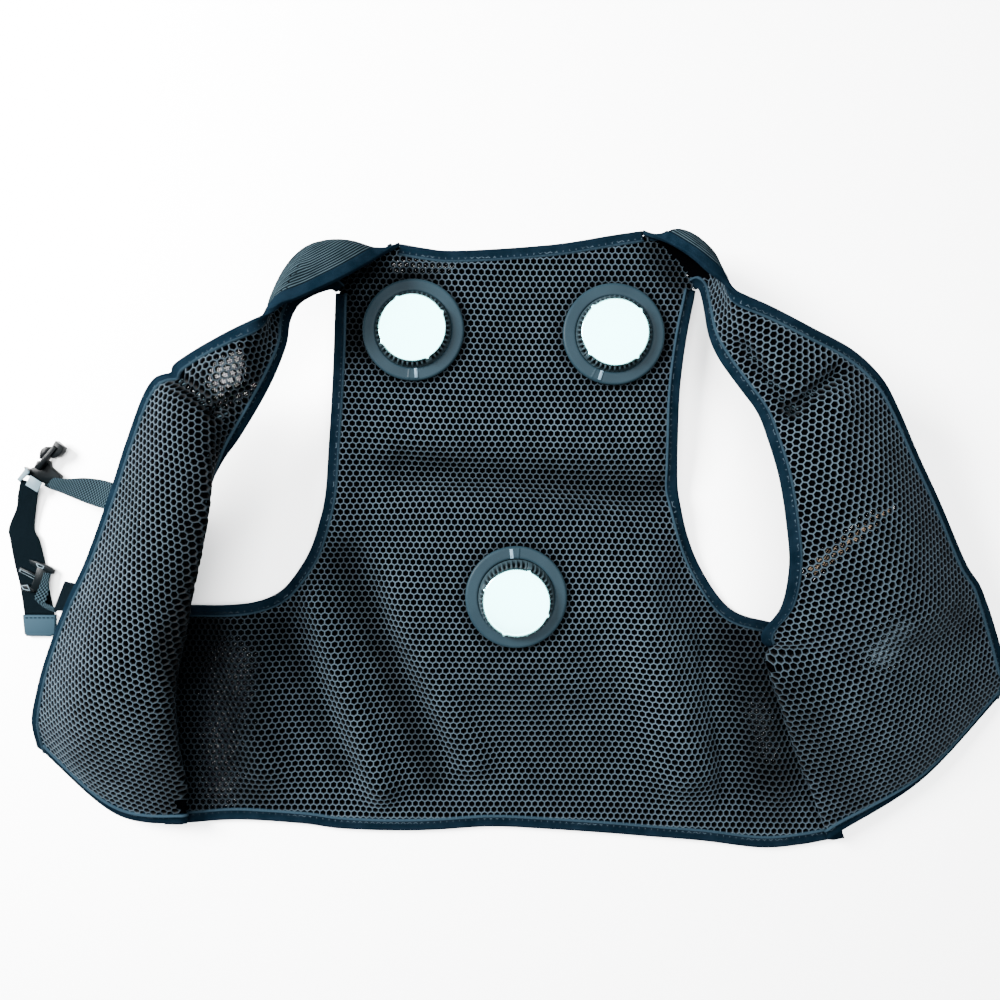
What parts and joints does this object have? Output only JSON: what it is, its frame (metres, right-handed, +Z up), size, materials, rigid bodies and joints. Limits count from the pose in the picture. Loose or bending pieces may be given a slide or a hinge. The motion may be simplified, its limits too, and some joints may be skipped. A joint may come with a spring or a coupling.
{
  "type": "cooling vest",
  "caption": "Sleeveless spacer-mesh work vest lying open, with round metal-faced cooling modules in the back, taped edges and side adjusting straps.",
  "frame": {"origin": "centre of the bounding box on the surface that the vest lies on", "axes": "+Z up, away from the surface; +Y towards the collar; +X to the right of the open vest seen from above"},
  "size_m": [0.9488, 0.5812, 0.0935],
  "materials": {
    "spacer_mesh": "black spacer mesh with hexagonal holes",
    "binding_tape": "woven navy-black edge tape",
    "flange_plastic": "matte grey moulded plastic",
    "housing_plastic": "black moulded plastic",
    "cold_plate_metal": "polished metal",
    "grey_webbing": "grey woven webbing",
    "black_webbing": "black woven webbing",
    "buckle_plastic": "black moulded plastic",
    "end_clip_tape": "smooth grey-blue folded tape with one row of stitches",
    "tan_strip": "tan woven strip",
    "patch_fabric": "grey-blue fabric"
  },
  "bodies": {
    "root": {"back_panel": "spacer_mesh", "left_front_panel": "spacer_mesh", "right_front_panel": "spacer_mesh", "collar_binding": "binding_tape", "left_armhole_back_binding": "binding_tape", "right_armhole_back_binding": "binding_tape", "hem_binding": "binding_tape", "left_front_edge_binding": "binding_tape", "left_armhole_front_binding": "binding_tape", "left_hem_binding": "binding_tape", "right_front_edge_binding": "binding_tape", "right_armhole_front_binding": "binding_tape", "right_hem_binding": "binding_tape", "left_back_housing": "housing_plastic", "left_flange_ring": "flange_plastic", "left_vent_collar": "housing_plastic", "left_cold_plate": "cold_plate_metal", "right_back_housing": "housing_plastic", "right_flange_ring": "flange_plastic", "right_vent_collar": "housing_plastic", "right_cold_plate": "cold_plate_metal", "lower_back_housing": "housing_plastic", "lower_flange_ring": "flange_plastic", "lower_vent_collar": "housing_plastic", "lower_cold_plate": "cold_plate_metal", "upper_strap": "grey_webbing", "lower_strap": "grey_webbing", "tail_strap": "black_webbing", "strap_anchor": "black_webbing", "strap_buckle": "buckle_plastic", "lower_buckle": "buckle_plastic", "strap_end_clip": "end_clip_tape", "outer_strip": "tan_strip", "outer_patch": "patch_fabric"}
  },
  "joints": []
}
